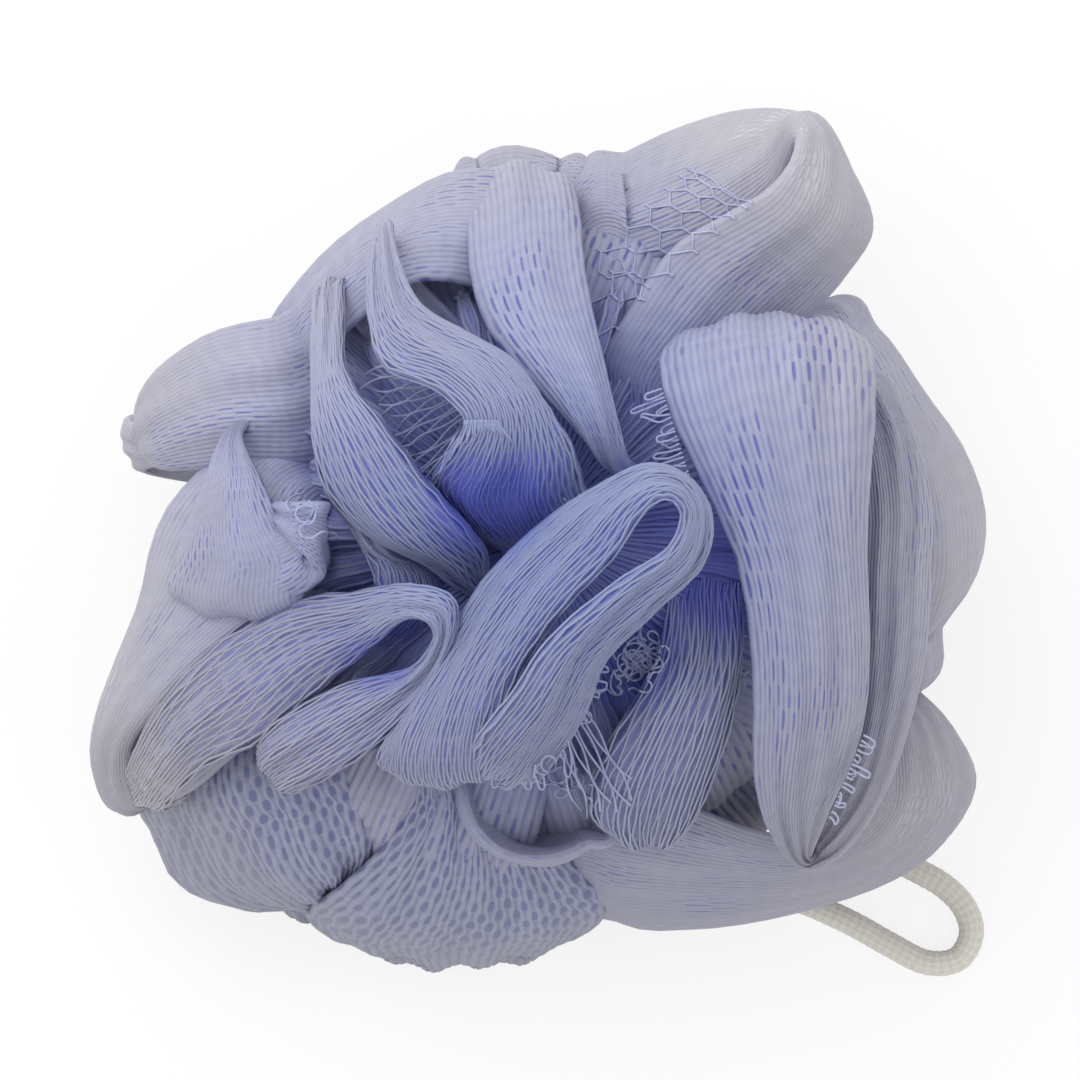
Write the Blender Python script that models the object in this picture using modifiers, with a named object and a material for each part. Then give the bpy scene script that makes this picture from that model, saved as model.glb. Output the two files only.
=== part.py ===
"""Bath pouf: tubular netting gathered into ruffles, bound round its middle and hung by a cord loop.

It is drawn as it lies on a table, seen in plan: the net's folds are ribbons of flattened tube that
leave the gathered middle, loop out and come back to it.
"""

import math

import bmesh
import bpy
from mathutils import Vector

# Overall sizes of the pouf as it lies on a table, in metres
POUF_WIDTH = 0.130
POUF_HEIGHT = 0.082

# The netting: a flattened tube, so two layers of strands make one wall, with pleats along it
NET_WALL = 0.0020
PLEAT_DEPTH = 0.0010
PLEAT_WIDTH = 0.0095
ROW_PITCH = 0.0140
FEWEST_COLUMNS = 2
MOST_COLUMNS = 4
PLEAT_RUN_OUT = 0.0060

# How far a fold swells outwards at its middle, as a share of its width
FOLD_SWELL = 0.10

# Net that the table presses flat: the share of its wall that stays above the table's surface at its middle
RESTING_SINK = 0.3

# Where a fold is pulled open its cells show as diamond gaps
CELL_WIDTH = 0.0085
CELL_LENGTH = 0.0120
CELL_STRAND = 0.0010
SMALLEST_CELL = 0.00006

# The gathered middle of the net: a lobe above and one below the waist that takes the binding. A lobe's
# outline runs from its crown to the waist, in shares of the lobe's radius and height
LOBE_RADIUS = 0.0340
LOBE_HEIGHT = 0.0120
LOBE_OUTLINE = ((0.0, 1.0), (0.45, 0.98), (0.80, 0.80), (1.0, 0.45))
WAIST_RADIUS = 0.0060
WAIST_HEIGHT = 0.0040
WAIST_LEVEL = 0.0370

# The binding string and the hanging cord
TIE_DIAMETER = 0.0026
CORD_DIAMETER = 0.0036
CLEARANCE = 0.0003

NET_COLOUR = (0.42, 0.45, 0.74, 1.0)
CORD_COLOUR = (0.72, 0.71, 0.65, 1.0)


# Places in the pouf are in hundredths of its half width, and levels rise from 0 at the table to the crown's
HALF_WIDTH_UNITS = 100
CROWN_LEVEL = 93


def plan(x, y, level):
    """A place in the pouf, from its units to metres."""
    across = POUF_WIDTH / 2 / HALF_WIDTH_UNITS
    return Vector((x * across, y * across, level * POUF_HEIGHT / CROWN_LEVEL))


# Each fold is a ribbon of flattened tube. A row gives the ribbon's two edges at one place along it,
# as (x, y, level) of the first edge and of the second. First and last rows end in the gathered middle.
FOLDS = {
    "centre_loop": [
        ((-6, -2, 56), (4, -6, 58)),
        ((-20, -28, 50), (-2, -30, 56)),
        ((-33, -46, 54), (-8, -48, 64)),
        ((-36, -50, 60), (-10, -52, 72)),
        ((-35, -47, 66), (-9, -47, 80)),
        ((-25, -33, 70), (-5, -32, 85)),
        ((-13, -12, 76), (5, -17, 89)),
        ((2, 3, 79), (16, -5, 91)),
        ((14, 9.5, 81), (21, 3, 92)),
        ((24, 13.5, 83), (26, 7.5, 93)),
        ((32, 11, 84), (30, 7, 93)),
        ((36.5, 3, 84), (31.5, 3, 92)),
        ((35, -6, 82), (28, -4, 91)),
        ((26, -15, 79), (17, -11, 91)),
        ((14, -27, 76), (3, -23, 91)),
        ((10, -38, 72), (-6, -36, 89)),
        ((2, -50, 66), (-14, -46, 85)),
        ((0, -52, 57), (-14, -50, 72)),
        ((4, -46, 48), (-8, -44, 58)),
        ((6, -8, 54), (-4, -10, 56)),
    ],
    "upper_wave": [
        ((-4, 6, 54), (6, 4, 54)),
        ((-22, 36, 50), (-12, 40, 50)),
        ((-34, 58, 54), (-30, 60, 54)),
        ((-36, 67, 62), (-33, 69, 62)),
        ((-38.5, 56, 70), (-31, 59, 68)),
        ((-37.5, 44, 75), (-26, 50, 72)),
        ((-34, 36.5, 79), (-16, 44, 75)),
        ((-23, 32, 83), (-6, 38, 78)),
        ((-16.5, 25, 85), (1, 29, 80)),
        ((-20, 18, 80), (7, 20, 79)),
        ((-24, 11, 72), (9.5, 12, 76)),
        ((-18, 3, 64), (12, 4, 70)),
        ((-6, -4, 56), (8, -2, 58)),
    ],
    "left_long_fold": [
        ((-6, 4, 52), (-2, 6, 54)),
        ((-34, 38, 46), (-26, 42, 46)),
        ((-48, 52, 52), (-42, 56, 52)),
        ((-50.5, 44, 64), (-43.5, 48, 63)),
        ((-50.5, 31, 70), (-42.5, 35, 72)),
        ((-50, 19, 72), (-34, 24, 77)),
        ((-47, 9, 71), (-25, 12, 77)),
        ((-38, 0, 68), (-17, 3, 75)),
        ((-26, -5, 64), (-12, -4, 70)),
        ((-15, -12, 58), (-10.5, -10, 62)),
        ((-6, -8, 54), (-2, -4, 56)),
    ],
    "left_curl": [
        ((-8, 2, 50), (-6, 6, 52)),
        ((-46, 12, 62), (-36, 14, 66)),
        ((-42, 1, 65), (-33, -2, 64)),
        ((-38, -6, 65), (-27, -8, 59)),
        ((-36.5, -12, 65), (-22, -12, 57)),
        ((-39, -17, 61), (-24, -18, 54)),
        ((-44, -20, 54), (-30, -24, 48)),
        ((-12, -8, 50), (-8, -12, 50)),
    ],
    "small_loop": [
        ((-10, -6, 50), (-6, -12, 50)),
        ((-60, -30, 34), (-50, -44, 34)),
        ((-88, -50, 30), (-80, -60, 32)),
        ((-91, -50, 38), (-82, -60, 39)),
        ((-84, -36, 46), (-74, -52, 45)),
        ((-71, -23, 52), (-61, -46, 53)),
        ((-56, -15, 60), (-48, -34, 62)),
        ((-41, -13, 71), (-37, -25, 70)),
        ((-30, -11.5, 79), (-30, -19, 76)),
        ((-20, -14, 81), (-25, -19.5, 78)),
        ((-18.5, -22, 79), (-23.5, -23.5, 76)),
        ((-23, -33, 73), (-29, -30, 70)),
        ((-33, -45, 66), (-43, -33, 64)),
        ((-46, -54, 58), (-58, -41, 57)),
        ((-54, -57.5, 52), (-62, -46, 50)),
        ((-48, -52, 42), (-54, -42, 42)),
        ((-10, -14, 50), (-12, -8, 50)),
    ],
    "left_sweep": [
        ((-8, 6, 50), (-8, -2, 50)),
        ((-50, 20, 40), (-40, 4, 44)),
        ((-66, 20, 46), (-48, 3, 54)),
        ((-79, 11, 46), (-46.5, -6, 57)),
        ((-86, 0, 44), (-52, -14, 57)),
        ((-89.5, -15, 40), (-62, -20, 55)),
        ((-94.5, -28, 36), (-73, -28, 51)),
        ((-99, -42, 32), (-84, -39, 46)),
        ((-99.5, -53, 27), (-91, -48, 38)),
        ((-94, -61, 20), (-89, -59, 28)),
        ((-80, -52, 14), (-74, -44, 18)),
        ((-16, -12, 36), (-12, -4, 34)),
    ],
    "left_cone": [
        ((-10, 4, 50), (-6, 8, 50)),
        ((-56, 22, 46), (-54, 26, 46)),
        ((-70, 21, 56), (-66, 23, 56)),
        ((-75, 10, 59), (-62, 12, 64)),
        ((-79, 1, 56), (-57, 2, 66)),
        ((-81, -6, 53), (-52, -5, 67)),
        ((-82, -13, 48), (-52, -14, 62)),
        ((-66, -14, 42), (-46, -12, 52)),
        ((-12, -8, 50), (-8, -2, 50)),
    ],
    "cone_lip": [
        ((-10, 0, 50), (-8, -4, 50)),
        ((-44, 6, 54), (-42, 0, 52)),
        ((-55, 7, 64), (-57, 1, 61)),
        ((-50, 5, 68), (-55, -1, 63)),
        ((-47, 0, 70), (-54, -3, 64)),
        ((-47.5, -7, 70), (-54, -6, 64)),
        ((-51, -12, 66), (-56, -9, 61)),
        ((-12, -6, 50), (-10, -2, 50)),
    ],
    "left_outer": [
        ((-8, 8, 50), (-8, 0, 50)),
        ((-44, 50, 44), (-44, 12, 46)),
        ((-60, 48, 48), (-58, 13, 50)),
        ((-73, 45, 46), (-68, 14, 49)),
        ((-84, 38, 42), (-77, 14, 45)),
        ((-89, 31, 36), (-83, 14, 39)),
        ((-90, 24, 28), (-86, 15, 30)),
        ((-86, 26, 18), (-82, 12, 20)),
        ((-14, 10, 34), (-14, 2, 34)),
    ],
    "upper_left_dome": [
        ((-12, 4, 50), (-8, 2, 50)),
        ((-52, 34, 38), (-40, 28, 48)),
        ((-59, 45, 36), (-47, 40, 52)),
        ((-55.5, 52.5, 38), (-42, 46, 56)),
        ((-46, 63.5, 40), (-35, 52, 58)),
        ((-34, 72.5, 42), (-28, 56, 59)),
        ((-21, 80, 43), (-20, 56, 58)),
        ((-8, 81, 42), (-12, 54, 55)),
        ((4, 76, 38), (-4, 50, 50)),
        ((4, 12, 50), (-2, 8, 50)),
    ],
    "top_tab": [
        ((-8, 10, 34), (-6, 8, 34)),
        ((-18, 76, 30), (-14, 66, 34)),
        ((-14, 84, 29), (-11, 70, 34)),
        ((-6, 86.5, 28), (-5, 72, 34)),
        ((4, 83.5, 28), (3, 72, 34)),
        ((11, 78, 30), (9, 68, 34)),
        ((8, 12, 34), (4, 10, 34)),
    ],
    "upper_mid_rib": [
        ((-6, 10, 50), (4, 10, 50)),
        ((-18, 62, 34), (6, 62, 34)),
        ((-18, 78, 40), (7, 77, 40)),
        ((-16.5, 70, 52), (9, 71, 51)),
        ((-15.5, 57, 63), (10, 59, 62)),
        ((-12, 46, 69), (12, 48, 67)),
        ((-5, 37, 73), (14.5, 37, 71)),
        ((4, 27, 75), (17, 26, 73)),
        ((12, 18, 72), (20, 16, 71)),
        ((17, 11, 64), (24, 12, 66)),
        ((2, 4, 56), (8, 2, 56)),
    ],
    "upper_right_petal": [
        ((2, 12, 34), (6, 6, 50)),
        ((8, 78, 30), (12, 58, 40)),
        ((20, 85.5, 30), (22, 60, 40)),
        ((32, 91, 32), (33, 64, 42)),
        ((45, 94.5, 34), (44, 70, 44)),
        ((56, 94.5, 39), (53, 78, 48)),
        ((61, 92, 44), (57, 88, 56)),
        ((68, 82, 45), (56, 83, 60)),
        ((74, 69, 45), (50, 76, 62)),
        ((70, 60, 44), (40, 70, 61)),
        ((61, 49, 45), (29, 63, 59)),
        ((50, 38, 47), (20, 50, 57)),
        ((40, 25, 49), (14, 38, 55)),
        ((33, 12, 50), (16, 22, 52)),
        ((8, 4, 50), (4, 8, 50)),
    ],
    "right_fold": [
        ((8, -4, 50), (10, 2, 50)),
        ((24, 16, 50), (58, 18, 50)),
        ((27, 34, 56), (72, 36, 56)),
        ((25.5, 41, 62), (74.5, 43, 62)),
        ((25.5, 38, 69), (75, 40, 68)),
        ((29, 26, 74), (74.5, 27, 71)),
        ((37.5, 8, 76), (73, 8, 71)),
        ((43.5, -6, 76), (72.5, -6, 69)),
        ((46.5, -22, 74), (73, -22, 66)),
        ((47.5, -38, 70), (72.5, -38, 62)),
        ((47.5, -52, 63), (69.5, -50, 57)),
        ((50, -64, 55), (64, -62, 51)),
        ((57, -74, 47), (60, -71, 47)),
        ((66, -73, 45), (61, -68, 42)),
        ((76, -60, 48), (66, -56, 46)),
        ((82, -44, 52), (68, -42, 51)),
        ((86, -26, 55), (69, -27, 54)),
        ((87, -8, 56), (69, -10, 56)),
        ((87, 8, 54), (69, 6, 56)),
        ((82, 26, 50), (66, 22, 53)),
        ((70, 34, 44), (56, 26, 46)),
        ((14, 6, 34), (12, 0, 34)),
    ],
    "far_right_sheet": [
        ((10, 8, 50), (14, 4, 34)),
        ((52, 36, 44), (64, 50, 34)),
        ((58, 36, 50), (76, 45, 35)),
        ((62, 24, 53), (86, 31, 34)),
        ((64, 11, 54), (94.5, 19, 33)),
        ((65, -3, 54), (99.5, 5, 31)),
        ((66, -15, 51), (98, -8, 29)),
        ((67, -25, 46), (90, -19, 27)),
        ((66, -35, 40), (82, -30, 25)),
        ((14, -6, 36), (14, -2, 34)),
    ],
    "lower_right_sheet": [
        ((14, -4, 34), (12, -2, 34)),
        ((70, -26, 22), (62, -34, 32)),
        ((86, -37, 24), (74, -44, 37)),
        ((94, -46, 24), (74, -52, 39)),
        ((97.5, -56, 23), (72, -60, 40)),
        ((92, -67, 21), (66, -66, 40)),
        ((81, -75.5, 20), (57, -68, 40)),
        ((66, -82, 18), (46, -66, 41)),
        ((50, -86.5, 17), (36, -62, 43)),
        ((35, -88.5, 15), (25, -58, 44)),
        ((20, -87.5, 14), (12, -54, 44)),
        ((6, -76, 14), (2, -46, 44)),
        ((0, -12, 34), (2, -8, 50)),
    ],
    "front_fan": [
        ((4, -6, 52), (8, -2, 52)),
        ((28, -8, 50), (42, -6, 50)),
        ((28, -18, 57), (45, -16, 55)),
        ((25, -30, 63), (45, -30, 58)),
        ((18, -42, 63), (43, -42, 59)),
        ((12, -53, 60), (39, -54, 56)),
        ((11, -62, 55), (35, -63, 51)),
        ((17, -66.5, 46), (31, -66.5, 45)),
        ((18, -58, 37), (32, -56, 37)),
        ((4, -10, 50), (10, -8, 50)),
    ],
    "left_inner": [
        ((-10, -6, 50), (-8, -2, 50)),
        ((-46, -4, 44), (-38, -22, 50)),
        ((-64, -12, 43), (-52, -36, 46)),
        ((-82, -24, 38), (-66, -48, 40)),
        ((-93, -40, 32), (-78, -58, 34)),
        ((-95, -50, 25), (-86, -61, 28)),
        ((-84, -46, 16), (-74, -56, 18)),
        ((-14, -10, 34), (-10, -14, 34)),
    ],
    "bottom_left_petal": [
        ((-12, -8, 34), (-4, -10, 34)),
        ((-76, -46, 20), (-30, -38, 40)),
        ((-90, -58, 22), (-31, -46, 44)),
        ((-87, -68, 19), (-28, -53, 43)),
        ((-81.5, -78.5, 16), (-28, -60, 39)),
        ((-70, -83, 13), (-32, -66, 34)),
        ((-60, -82.5, 11), (-38, -72, 28)),
        ((-50, -80, 7), (-40, -70, 20)),
        ((-8, -14, 34), (-6, -10, 36)),
    ],
    "bottom_petal": [
        ((-6, -10, 50), (0, -12, 50)),
        ((-25, -46, 49), (-12, -48, 46)),
        ((-28, -60, 46), (-4, -61, 41)),
        ((-36, -71, 38), (6, -72, 34)),
        ((-46, -80, 28), (13, -80, 27)),
        ((-53, -85, 17), (15, -85, 18)),
        ((-47, -89, 9), (9, -89, 10)),
        ((-38, -83, 3), (4, -83, 3)),
        ((-8, -12, 32), (0, -14, 32)),
    ],
    "bottom_cup": [
        ((-4, -10, 50), (-2, -12, 34)),
        ((-16, -48, 50), (-9, -48, 38)),
        ((-17, -58, 51), (-9, -57, 36)),
        ((-14, -66, 50), (-7, -62, 34)),
        ((-7, -71.5, 48), (-3, -65, 33)),
        ((2, -72.5, 47), (2, -65.5, 33)),
        ((10, -69.5, 47), (7, -62, 34)),
        ((17, -63, 48), (10, -56, 36)),
        ((6, -12, 50), (4, -10, 34)),
    ],
}

# Folds that are pulled open, so that their cells are cut through
OPEN_FOLDS = ("bottom_petal", "bottom_left_petal", "front_fan")

# Loops all round that the pouf rests on: each runs out above the table, turns under and comes back along
# it. It turns at its own distance in hundredths of the half width, and its profile is (share of that
# distance, level, half width).
UNDER_TURNS = (76, 68, 64, 76, 80, 76)
UNDER_START = 0.25
UNDER_PROFILE = (
    (0.12, 33, 6),
    (0.60, 31, 20),
    (0.93, 24, 27),
    (1.00, 12, 27),
    (0.90, 0, 24),
    (0.55, 0, 20),
    (0.12, 22, 6),
)


def under_loops():
    """The rows of each resting loop, swung round to its own bearing."""
    loops = {}
    for index, turn in enumerate(UNDER_TURNS):
        bearing = 2 * math.pi * (index + UNDER_START) / len(UNDER_TURNS)
        out = Vector((math.cos(bearing), math.sin(bearing)))
        side = Vector((-out.y, out.x))
        rows = []
        for share, level, half in UNDER_PROFILE:
            middle = out * turn * share
            rows.append(((*(middle - side * half), level), (*(middle + side * half), level)))
        loops[f"under_loop_{index + 1}"] = rows
    return loops


# The hanging cord from one end under the binding, out along the table, round its loop and back
CORD_ROUTE = (
    (19, -7, 40),
    (30, -18, 34),
    (42, -33, 22),
    (54, -50, 10),
    (65, -62, 3.2),
    (76, -71.5, 2.2),
    (84, -75.5, 2.2),
    (91, -79.5, 2.2),
    (95.7, -84.5, 2.2),
    (97.2, -90.5, 2.2),
    (94, -96, 2.2),
    (87, -96.7, 2.2),
    (79, -92.8, 2.2),
    (71, -88.3, 2.2),
    (63, -84.5, 2.2),
    (53, -80, 2.2),
    (42, -70, 4),
    (31, -52, 14),
    (22, -33, 28),
    (13, -16, 40),
)
CORD_STEP = 0.0040

# Steps in which a fold is walked along to space its rows evenly, and the fewest rows that it has
WALK_STEPS = 200
FEWEST_ROWS = 5


def spline(points, t):
    """Catmull-Rom through the points, t from 0 at the first to 1 at the last."""
    spans = len(points) - 1
    place = min(max(t, 0.0), 1.0) * spans
    i = min(int(place), spans - 1)
    f = place - i
    a = points[max(i - 1, 0)]
    b = points[i]
    c = points[i + 1]
    d = points[min(i + 2, spans)]
    return 0.5 * (2 * b + (c - a) * f + (2 * a - 5 * b + 4 * c - d) * f**2 + (3 * b - a - 3 * c + d) * f**3)


def fold_rows(rows, pitch):
    """Both edges of a fold at even steps along it, about a pitch apart."""
    first = [plan(*row[0]) for row in rows]
    second = [plan(*row[1]) for row in rows]
    middle = [(a + b) / 2 for a, b in zip(first, second)]
    walk = [spline(middle, k / WALK_STEPS) for k in range(WALK_STEPS + 1)]
    run = [0.0]
    for a, b in zip(walk, walk[1:]):
        run.append(run[-1] + (b - a).length)
    count = max(FEWEST_ROWS, round(run[-1] / pitch))
    edges = []
    for k in range(count):
        j = next(n for n in range(WALK_STEPS + 1) if run[n] >= run[-1] * k / count)
        edges.append((spline(first, j / WALK_STEPS), spline(second, j / WALK_STEPS)))
    edges.append((first[-1], second[-1]))
    return edges


def outward_normals(edges):
    """The way that a fold faces at each of its rows, away from the pouf's middle as a whole."""
    last = len(edges) - 1
    waist = Vector((0.0, 0.0, WAIST_LEVEL))
    normals = []
    outward = 0.0
    for k, (left, right) in enumerate(edges):
        before, after = edges[max(k - 1, 0)], edges[min(k + 1, last)]
        along = (after[0] + after[1] - before[0] - before[1]) / 2
        normals.append(along.cross(right - left).normalized())
        outward += normals[k].dot((left + right) / 2 - waist)
    return normals if outward > 0 else [-normal for normal in normals]


def open_cells(bm):
    """Cut a diamond through each cell: the corners of an inset turned to face the middles of its sides."""
    cells = [face for face in bm.faces if face.calc_area() > SMALLEST_CELL]
    bmesh.ops.inset_individual(bm, faces=cells, thickness=CELL_STRAND)
    for cell in cells:
        corners = [loop.vert for loop in cell.loops]
        ends = [(a.co + b.co) / 2 for a, b in zip(corners, corners[1:] + corners[:1])]
        for corner, end in zip(corners, ends):
            corner.co = end
    bmesh.ops.delete(bm, geom=cells, context="FACES")


def fold_mesh(name, rows):
    """A ribbon through its rows as an open surface, pleated lengthwise, with its cells cut if it is open."""
    is_open = name in OPEN_FOLDS
    edges = fold_rows(rows, CELL_LENGTH if is_open else ROW_PITCH)
    last = len(edges) - 1
    widest = max((b - a).length for a, b in edges)
    columns = round(widest / (CELL_WIDTH if is_open else PLEAT_WIDTH))
    columns = max(FEWEST_COLUMNS, min(MOST_COLUMNS + is_open, columns))
    normals = outward_normals(edges)
    bm = bmesh.new()
    bmesh.ops.create_grid(bm, x_segments=columns, y_segments=last, size=1.0)
    for vertex in bm.verts:
        across = (vertex.co.x + 1) / 2
        k = round((vertex.co.y + 1) / 2 * last)
        left, right = edges[k]
        height = left.lerp(right, across)
        swell = FOLD_SWELL * (right - left).length * 4 * across * (1 - across)
        pressed = min(1.0, height.z / PLEAT_RUN_OUT)
        pleat = PLEAT_DEPTH if round(across * columns) % 2 else -PLEAT_DEPTH
        vertex.co = height + normals[k] * (swell + pleat * pressed)
        vertex.co.z = max(vertex.co.z, NET_WALL * RESTING_SINK)
    if is_open:
        open_cells(bm)
    mesh = bpy.data.meshes.new(name)
    bm.to_mesh(mesh)
    bm.free()
    return mesh


def material(name, colour, roughness):
    made = bpy.data.materials.new(name)
    made.use_nodes = True
    shader = made.node_tree.nodes["Principled BSDF"]
    shader.inputs["Base Color"].default_value = colour
    shader.inputs["Roughness"].default_value = roughness
    return made


def add_object(name, data, collection):
    made = bpy.data.objects.new(name, data)
    collection.objects.link(made)
    return made


def as_tool(tool):
    tool.hide_render = True
    tool.display_type = "WIRE"


def add_folds(collection):
    """Every fold as its own thick ribbon, ready to be joined."""
    for name, rows in {**FOLDS, **under_loops()}.items():
        fold = add_object(name, fold_mesh(name, rows), collection)
        as_tool(fold)
        wall = fold.modifiers.new("wall", "SOLIDIFY")
        wall.thickness = NET_WALL
        wall.offset = 0.0


def add_gathered_middle(collection):
    """The bunched middle of the net: two lobes and the waist that the binding draws in."""
    half = WAIST_HEIGHT / 2
    lobe = [(LOBE_RADIUS * out, half + LOBE_HEIGHT * up) for out, up in LOBE_OUTLINE]
    lobe.append((WAIST_RADIUS, half))
    profile = [(radius, WAIST_LEVEL + rise) for radius, rise in lobe]
    profile += [(radius, WAIST_LEVEL - rise) for radius, rise in reversed(lobe)]
    bm = bmesh.new()
    verts = [bm.verts.new((radius, 0.0, level)) for radius, level in profile]
    for a, b in zip(verts, verts[1:]):
        bm.edges.new((a, b))
    mesh = bpy.data.meshes.new("mesh_net")
    bm.to_mesh(mesh)
    bm.free()
    middle = add_object("mesh_net", mesh, collection)
    turn = middle.modifiers.new("turn", "SCREW")
    turn.steps = 20
    turn.render_steps = 20
    turn.use_merge_vertices = True
    turn.merge_threshold = 0.0001
    return middle


def add_tie(collection):
    """The binding string, a ring round the waist of the gathered net."""
    radius = WAIST_RADIUS + CLEARANCE + TIE_DIAMETER / 2
    bpy.ops.mesh.primitive_torus_add(
        major_segments=24,
        minor_segments=8,
        major_radius=radius,
        minor_radius=TIE_DIAMETER / 2,
        location=(0.0, 0.0, WAIST_LEVEL),
    )
    tie = bpy.context.object
    tie.name = "centre_tie"
    for holder in list(tie.users_collection):
        holder.objects.unlink(tie)
    collection.objects.link(tie)
    return tie


def tube(name, diameter, collection):
    """A round tube along the cord's route."""
    route = [plan(*point) for point in CORD_ROUTE]
    spans = round(sum((b - a).length for a, b in zip(route, route[1:])) / CORD_STEP)
    curve = bpy.data.curves.new(name, "CURVE")
    curve.dimensions = "3D"
    curve.bevel_depth = diameter / 2
    curve.bevel_resolution = 2
    curve.use_fill_caps = True
    line = curve.splines.new("POLY")
    line.points.add(spans)
    for k, point in enumerate(line.points):
        point.co = (*spline(route, k / spans), 1.0)
    return add_object(name, curve, collection)


def cord_channel(collection):
    """The way that the cord takes through the net, a clearance wider than the cord all round."""
    guide = tube("cord_guide", CORD_DIAMETER + 2 * CLEARANCE, collection)
    shown = bpy.context.evaluated_depsgraph_get()
    mesh = bpy.data.meshes.new_from_object(guide.evaluated_get(shown))
    bpy.data.objects.remove(guide)
    bm = bmesh.new()
    bm.from_mesh(mesh)
    bmesh.ops.remove_doubles(bm, verts=bm.verts, dist=0.00001)
    bm.to_mesh(mesh)
    bm.free()
    return add_object("cord_channel", mesh, collection)


def tie_groove(collection):
    """The room round the waist that the binding lies in, open to the cord's channel."""
    outer = WAIST_RADIUS + 3 * CLEARANCE + TIE_DIAMETER
    half = TIE_DIAMETER / 2 + CLEARANCE
    bm = bmesh.new()
    corners = ((WAIST_RADIUS, half), (outer, half), (outer, -half), (WAIST_RADIUS, -half))
    profile = [bm.verts.new((radius, 0.0, WAIST_LEVEL + level)) for radius, level in corners]
    for a, b in zip(profile, profile[1:] + profile[:1]):
        bm.edges.new((a, b))
    mesh = bpy.data.meshes.new("tie_groove")
    bm.to_mesh(mesh)
    bm.free()
    groove = add_object("tie_groove", mesh, collection)
    turn = groove.modifiers.new("turn", "SCREW")
    turn.steps = 20
    turn.render_steps = 20
    turn.use_merge_vertices = True
    turn.merge_threshold = 0.0001
    return groove


def table_cut(collection):
    """Everything under the table's surface, cut away so the ruffles rest flat on it."""
    bm = bmesh.new()
    bmesh.ops.create_cube(bm, size=2 * POUF_WIDTH)
    bmesh.ops.translate(bm, verts=bm.verts, vec=(0.0, 0.0, -POUF_WIDTH))
    mesh = bpy.data.meshes.new("table_cut")
    bm.to_mesh(mesh)
    bm.free()
    return add_object("table_cut", mesh, collection)


def face_groups(bm):
    """The mesh's faces in connected groups."""
    waiting = set(bm.faces)
    while waiting:
        group = {waiting.pop()}
        front = list(group)
        while front:
            face = front.pop()
            near = {other for edge in face.edges if edge.is_manifold for other in edge.link_faces} & waiting
            waiting -= near
            group |= near
            front.extend(near)
        yield group


def fill_pockets(net):
    """Apply the union and keep only its outer skin, so pockets closed on all sides become solid net."""
    shown = bpy.context.evaluated_depsgraph_get()
    whole = bpy.data.meshes.new_from_object(net.evaluated_get(shown))
    net.modifiers.clear()
    net.data = whole
    bm = bmesh.new()
    bm.from_mesh(whole)
    bmesh.ops.triangulate(bm, faces=bm.faces)
    groups = sorted(face_groups(bm), key=len)
    for pocket in groups[:-1]:
        bmesh.ops.delete(bm, geom=list(pocket), context="FACES")
    bm.to_mesh(whole)
    bm.free()


def main():
    for stale in list(bpy.data.objects):
        bpy.data.objects.remove(stale)
    parts = bpy.data.collections.new("bath_pouf")
    folds = bpy.data.collections.new("net_folds")
    cutters = bpy.data.collections.new("cutters")
    for collection in (parts, folds, cutters):
        bpy.context.scene.collection.children.link(collection)

    net = add_gathered_middle(parts)
    net.data.materials.append(material("netting", NET_COLOUR, 0.5))
    add_folds(folds)
    join = net.modifiers.new("join_folds", "BOOLEAN")
    join.operation = "UNION"
    join.operand_type = "COLLECTION"
    join.collection = folds
    join.solver = "MANIFOLD"
    for cutter in (table_cut(cutters), tie_groove(cutters), cord_channel(cutters)):
        as_tool(cutter)
        cut = net.modifiers.new(cutter.name, "BOOLEAN")
        cut.operation = "DIFFERENCE"
        cut.object = cutter
        cut.solver = "MANIFOLD"
    fill_pockets(net)

    tie = add_tie(parts)
    tie.data.materials.append(material("binding", CORD_COLOUR, 0.6))
    cord = tube("hanging_cord", CORD_DIAMETER, parts)
    cord.data.materials.append(material("cord", CORD_COLOUR, 0.8))


main()
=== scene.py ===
# Bath pouf: lilac netting in loops round a bound middle, with an ivory hanging cord
import math

import bpy
import bmesh
import numpy as np
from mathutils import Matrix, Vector


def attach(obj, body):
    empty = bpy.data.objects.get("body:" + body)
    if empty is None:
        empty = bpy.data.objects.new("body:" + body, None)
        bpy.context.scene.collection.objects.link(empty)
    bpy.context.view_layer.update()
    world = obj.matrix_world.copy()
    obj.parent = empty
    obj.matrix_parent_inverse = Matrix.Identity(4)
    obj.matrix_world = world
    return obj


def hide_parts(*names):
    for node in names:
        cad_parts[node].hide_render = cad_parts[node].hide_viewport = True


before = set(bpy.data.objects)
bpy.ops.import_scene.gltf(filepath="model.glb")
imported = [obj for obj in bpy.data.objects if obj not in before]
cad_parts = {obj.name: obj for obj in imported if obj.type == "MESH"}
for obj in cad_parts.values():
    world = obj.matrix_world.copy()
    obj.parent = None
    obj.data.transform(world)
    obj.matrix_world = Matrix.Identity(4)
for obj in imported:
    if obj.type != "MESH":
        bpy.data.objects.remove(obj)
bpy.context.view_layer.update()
halfWidth = 0.065
poufHeight = 0.082
crownLevel = 93
middle = Vector((0.0, 0.0, 0.037))
hiddenReach, hiddenLevel = 0.024, 0.045  # folds nearer the axis and lower are inside the gathered middle
print("frame loaded:", list(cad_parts))


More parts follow.
